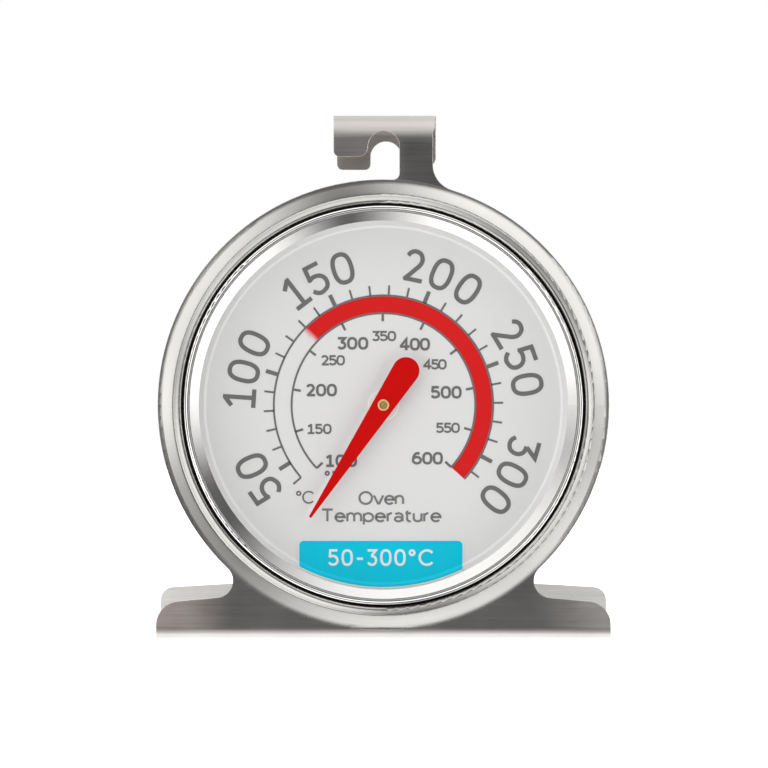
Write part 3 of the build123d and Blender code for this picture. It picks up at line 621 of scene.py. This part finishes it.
def caption():
    art = Artwork()
    art.word("Oven", x=-0.3, z=-12.8, height=1.92, stroke=0.3, width=6.3, stretch=1.03)
    art.word("Temperature", x=-0.3, z=-15.2, height=1.92, stroke=0.3, width=16.6, stretch=1.07)
    return art


def red_band():
    art = Artwork()
    middle = (OUTER_R + INNER_R) / 2
    width = OUTER_R - INNER_R - 0.1                  # its edges lie under the two scale lines
    art.ribbon(arc(0, 0, middle, middle, BAND_START, HOT_END, 220), width)
    return art


LABEL_LEFT, LABEL_RIGHT, LABEL_TOP, LABEL_R = -11.6, 10.9, -18.68, 25.05
LABEL_CORNER, LABEL_BORDER = 0.65, 0.14


def label(grow):
    """The label's shape: flat top with round corners, upright sides and a round bottom."""
    art = Artwork()
    left, right, top, reach = LABEL_LEFT - grow, LABEL_RIGHT + grow, LABEL_TOP + grow, LABEL_R + grow
    corner = LABEL_CORNER + grow
    columns, rows = 120, 70
    for i in range(columns + 1):
        share = i / columns
        x = left + (right - left) * (share * share * (3 - 2 * share))
        edge = min(x - left, right - x)
        drop = corner - sqrt(max(0.0, corner ** 2 - (corner - edge) ** 2)) if edge < corner else 0.0
        high, low = top - drop, -sqrt(reach ** 2 - x * x)
        art.points += [(x, high + (low - high) * k / rows, 0.0) for k in range(rows + 1)]
    for i in range(columns):
        for k in range(rows):
            a = i * (rows + 1) + k
            art.faces.append((a, a + 1, a + rows + 2, a + rows + 1))
    return art


def label_range():
    art = Artwork()
    keys = ["5", "0", "-", "3", "0", "0", "deg", "C"]
    art.word(keys, x=-0.36, z=-21.0, height=2.3, stroke=0.33, width=14.6)
    return art


GREY, CAPTION_GREY = colour(122, 122, 122), colour(135, 135, 135)
RED, CYAN = colour(232, 28, 30), colour(0, 214, 245)
WHITE, RANGE_WHITE = (1.0, 1.0, 1.0, 1.0), (0.95, 0.97, 0.97, 1.0)
FIELD = (0.9, 0.9, 0.905, 1.0)
# Each print's lift off the dial in millimetres: what is printed later lies on top.
BAND_LIFT, LINE_LIFT, BORDER_LIFT, LABEL_LIFT, RANGE_LIFT = 0.02, 0.03, 0.06, 0.075, 0.09

scales().make("print_scales", painted("print_grey", GREY), LINE_LIFT)
celsius_numbers().make("print_celsius_numbers", painted("print_grey_numbers", GREY), LINE_LIFT)
fahrenheit_numbers().make("print_fahrenheit_numbers", painted("print_grey_small", GREY), LINE_LIFT)
unit_marks().make("print_unit_marks", painted("print_grey_units", GREY), LINE_LIFT)
caption().make("print_caption", painted("print_grey_caption", CAPTION_GREY), LINE_LIFT)
red_band().make("print_red_band", red_band_paint(RED, FIELD, BAND_START), BAND_LIFT)
label(LABEL_BORDER).make("print_label_border", painted("print_white", WHITE, vary=0.0), BORDER_LIFT)
label(0.0).make("print_label", painted("print_cyan", CYAN), LABEL_LIFT)
label_range().make("print_label_range", painted("print_white_range", RANGE_WHITE), RANGE_LIFT)

# -------------------------------------------------------------------------------------- CAD nodes' materials
steel_drawn = turned_metal("case_steel", (0.50, 0.50, 0.49, 1), (0.63, 0.63, 0.62, 1), (0.30, 0.42))
steel_bright = turned_metal(
    "polished_steel", (0.80, 0.79, 0.78, 1), (0.88, 0.87, 0.86, 1), (0.10, 0.16), bump=0.08)
brass = turned_metal("brass", (0.60, 0.42, 0.16, 1), (0.78, 0.58, 0.26, 1), (0.22, 0.34), fine=30.0)
rivet = {"dark": (0.50, 0.50, 0.50, 1), "light": (0.66, 0.66, 0.65, 1), "rough": (0.25, 0.4)}
finishes = {
    "stand_frame": stand_steel(),
    "retaining_ring": plain_metal("spring_steel", (0.30, 0.30, 0.31, 1), (0.45, 0.45, 0.46, 1), (0.35, 0.5)),
    "head_case": steel_drawn,
    "rear_cover": steel_drawn,
    "cover_rivets": plain_metal("rivet_steel", **rivet),
    "bridge_rivets": plain_metal("rivet_steel_inner", **rivet),
    "bezel_ring": steel_bright,
    "lens_seal": painted("seal", (0.02, 0.02, 0.02, 1), (0.6, 0.8), 0.2),
    "glass_lens": glass(),
    "reflector_ring": turned_metal(
        "reflector", (0.84, 0.83, 0.82, 1), (0.91, 0.90, 0.89, 1), (0.10, 0.15), bump=0.05),
    "dial_plate": painted("dial_enamel", FIELD, (0.30, 0.38), 0.008),
    # Painted reflection: the metal eyelet is painted near-white and matt, to stand in for the bright
    # reflection it shows.
    "dial_eyelet": painted("eyelet_metal", (0.97, 0.97, 0.96, 1), (0.3, 0.4), 0.02),
    "movement_bridge": plain_metal("bridge_metal", (0.60, 0.44, 0.18, 1), (0.75, 0.57, 0.27, 1), (0.3, 0.45)),
    "front_bearing": brass,
    "rear_bearing": brass,
    "anchor_stud": brass,
    "bimetal_coil": plain_metal("bimetal", (0.36, 0.32, 0.28, 1), (0.52, 0.48, 0.44, 1), (0.3, 0.45)),
    "coil_collet": brass,
    "arbor": brass,
    "pointer": front_paint(
        "pointer_red", colour(216, 0, 0), (0.7, 0.7, 0.7, 1), rough=(0.28, 0.36), vary=0.03, gloss=0.06),
    # Painted light: a paler copy of the brass, so that the boss shows bright though its face looks to the
    # dark front.
    "pointer_boss": turned_metal(
        "boss_brass", (0.86, 0.62, 0.26, 1), (1.0, 0.84, 0.46, 1), (0.5, 0.6), fine=30.0),
}
for name, finish in finishes.items():
    slots = nodes[name].data.materials
    slots.clear()
    slots.append(finish)


# ---------------------------------------------------------------------------------------------------- studio
TENT = 0.1                           # the light tent's own glow, from every side
# Soft boxes on the tent: angle from -Y, angle anticlockwise from +X as the reader sees it, half the width of
# the even middle, half the width out to where it has faded, all in degrees, and then strength.
SOFT_BOXES = {
    "top panel": (62, 110, 15, 62, 1.25),
    "low left panel": (62, 222, 18, 50, 1.7),
    "low right panel": (62, 333, 15, 45, 1.6),
    "left edge light": (90, 165, 15, 45, 1.0),
    "right edge light": (90, 20, 15, 45, 1.3),
    "glow of the table": (108, 270, 20, 55, 1.5),
    "glow of the ceiling": (105, 90, 20, 60, 0.5),
    "back fill": (165, 90, 30, 75, 0.65),
}


def studio_world():
    """A light tent with soft boxes on it; the camera itself sees plain white."""
    world = bpy.data.worlds.new("studio")
    world.use_nodes = True
    bpy.context.scene.world = world
    graph = Graph(world.node_tree)
    toward = graph.vector("NORMALIZE", graph.node("ShaderNodeTexCoord").outputs["Generated"])
    level = TENT
    for tilt, turn, inner, outer, amount in SOFT_BOXES.values():
        aside = sin(radians(tilt))
        aim = (aside * cos(radians(turn)), -cos(radians(tilt)), aside * sin(radians(turn)))
        near = graph.vector("DOT_PRODUCT", toward, aim)
        level = graph.math("ADD", level, graph.span(
            near, cos(radians(outer)), cos(radians(inner)), 0.0, amount, smooth=True))
    light = graph.node("ShaderNodeBackground", Color=(1.0, 0.995, 0.985, 1.0), Strength=level)
    plain = graph.node("ShaderNodeBackground", Color=(1.0, 1.0, 1.0, 1.0), Strength=1.0)
    choose = graph.node("ShaderNodeMixShader")
    graph.put(choose, "0", graph.node("ShaderNodeLightPath").outputs["Is Camera Ray"])
    graph.put(choose, "1", light.outputs[0])
    graph.put(choose, "2", plain.outputs[0])
    output = graph.node("ShaderNodeOutputWorld")
    graph.tree.links.new(choose.outputs[0], output.inputs["Surface"])


def studio_floor():
    """A pale floor. It is hidden from reflections and bounced light, and its own glow drowns any shadow."""
    made, graph, shader = material("floor", Roughness=0.9, Emission_Strength=0.95)
    graph.put(shader, "Emission Color", (1, 1, 1, 1))
    grain = graph.noise(graph.node("ShaderNodeTexCoord").outputs["Object"], 60.0, 3.0, 0.6)
    graph.put(shader, "Base Color", graph.mix(grain, (0.86, 0.86, 0.86, 1), (0.9, 0.9, 0.9, 1)))
    made.cycles.emission_sampling = "NONE"
    half, gap = 3.0, 0.00002
    corners = [(-half, -half, 0), (half, -half, 0), (half, half, 0), (-half, half, 0)]
    mesh = bpy.data.meshes.new("studio_floor")
    mesh.from_pydata(corners, [], [(0, 1, 2, 3)])
    mesh.materials.append(made)
    floor = bpy.data.objects.new("studio_floor", mesh)
    floor.location.z = -gap
    floor.visible_glossy = False
    floor.visible_diffuse = False
    floor.visible_shadow = False
    bpy.context.scene.collection.objects.link(floor)


def studio_camera():
    """A long lens far in front, level with the middle of the picture."""
    distance, across = 1.5, 0.10545                  # to the object's front, and the picture's width there
    right, height = 0.00008, 0.0349
    data = bpy.data.cameras.new("camera")
    data.sensor_width = 36.0
    data.lens = 36.0 * distance / across
    data.clip_start, data.clip_end = 0.05, 20.0
    camera = bpy.data.objects.new("camera", data)
    camera.location = (right, cad_box[0].y - distance, height)
    camera.rotation_euler = (pi / 2, 0.0, 0.0)
    bpy.context.scene.collection.objects.link(camera)
    bpy.context.scene.camera = camera


studio_world()
studio_floor()
studio_camera()
bpy.context.scene.view_settings.view_transform = "Standard"
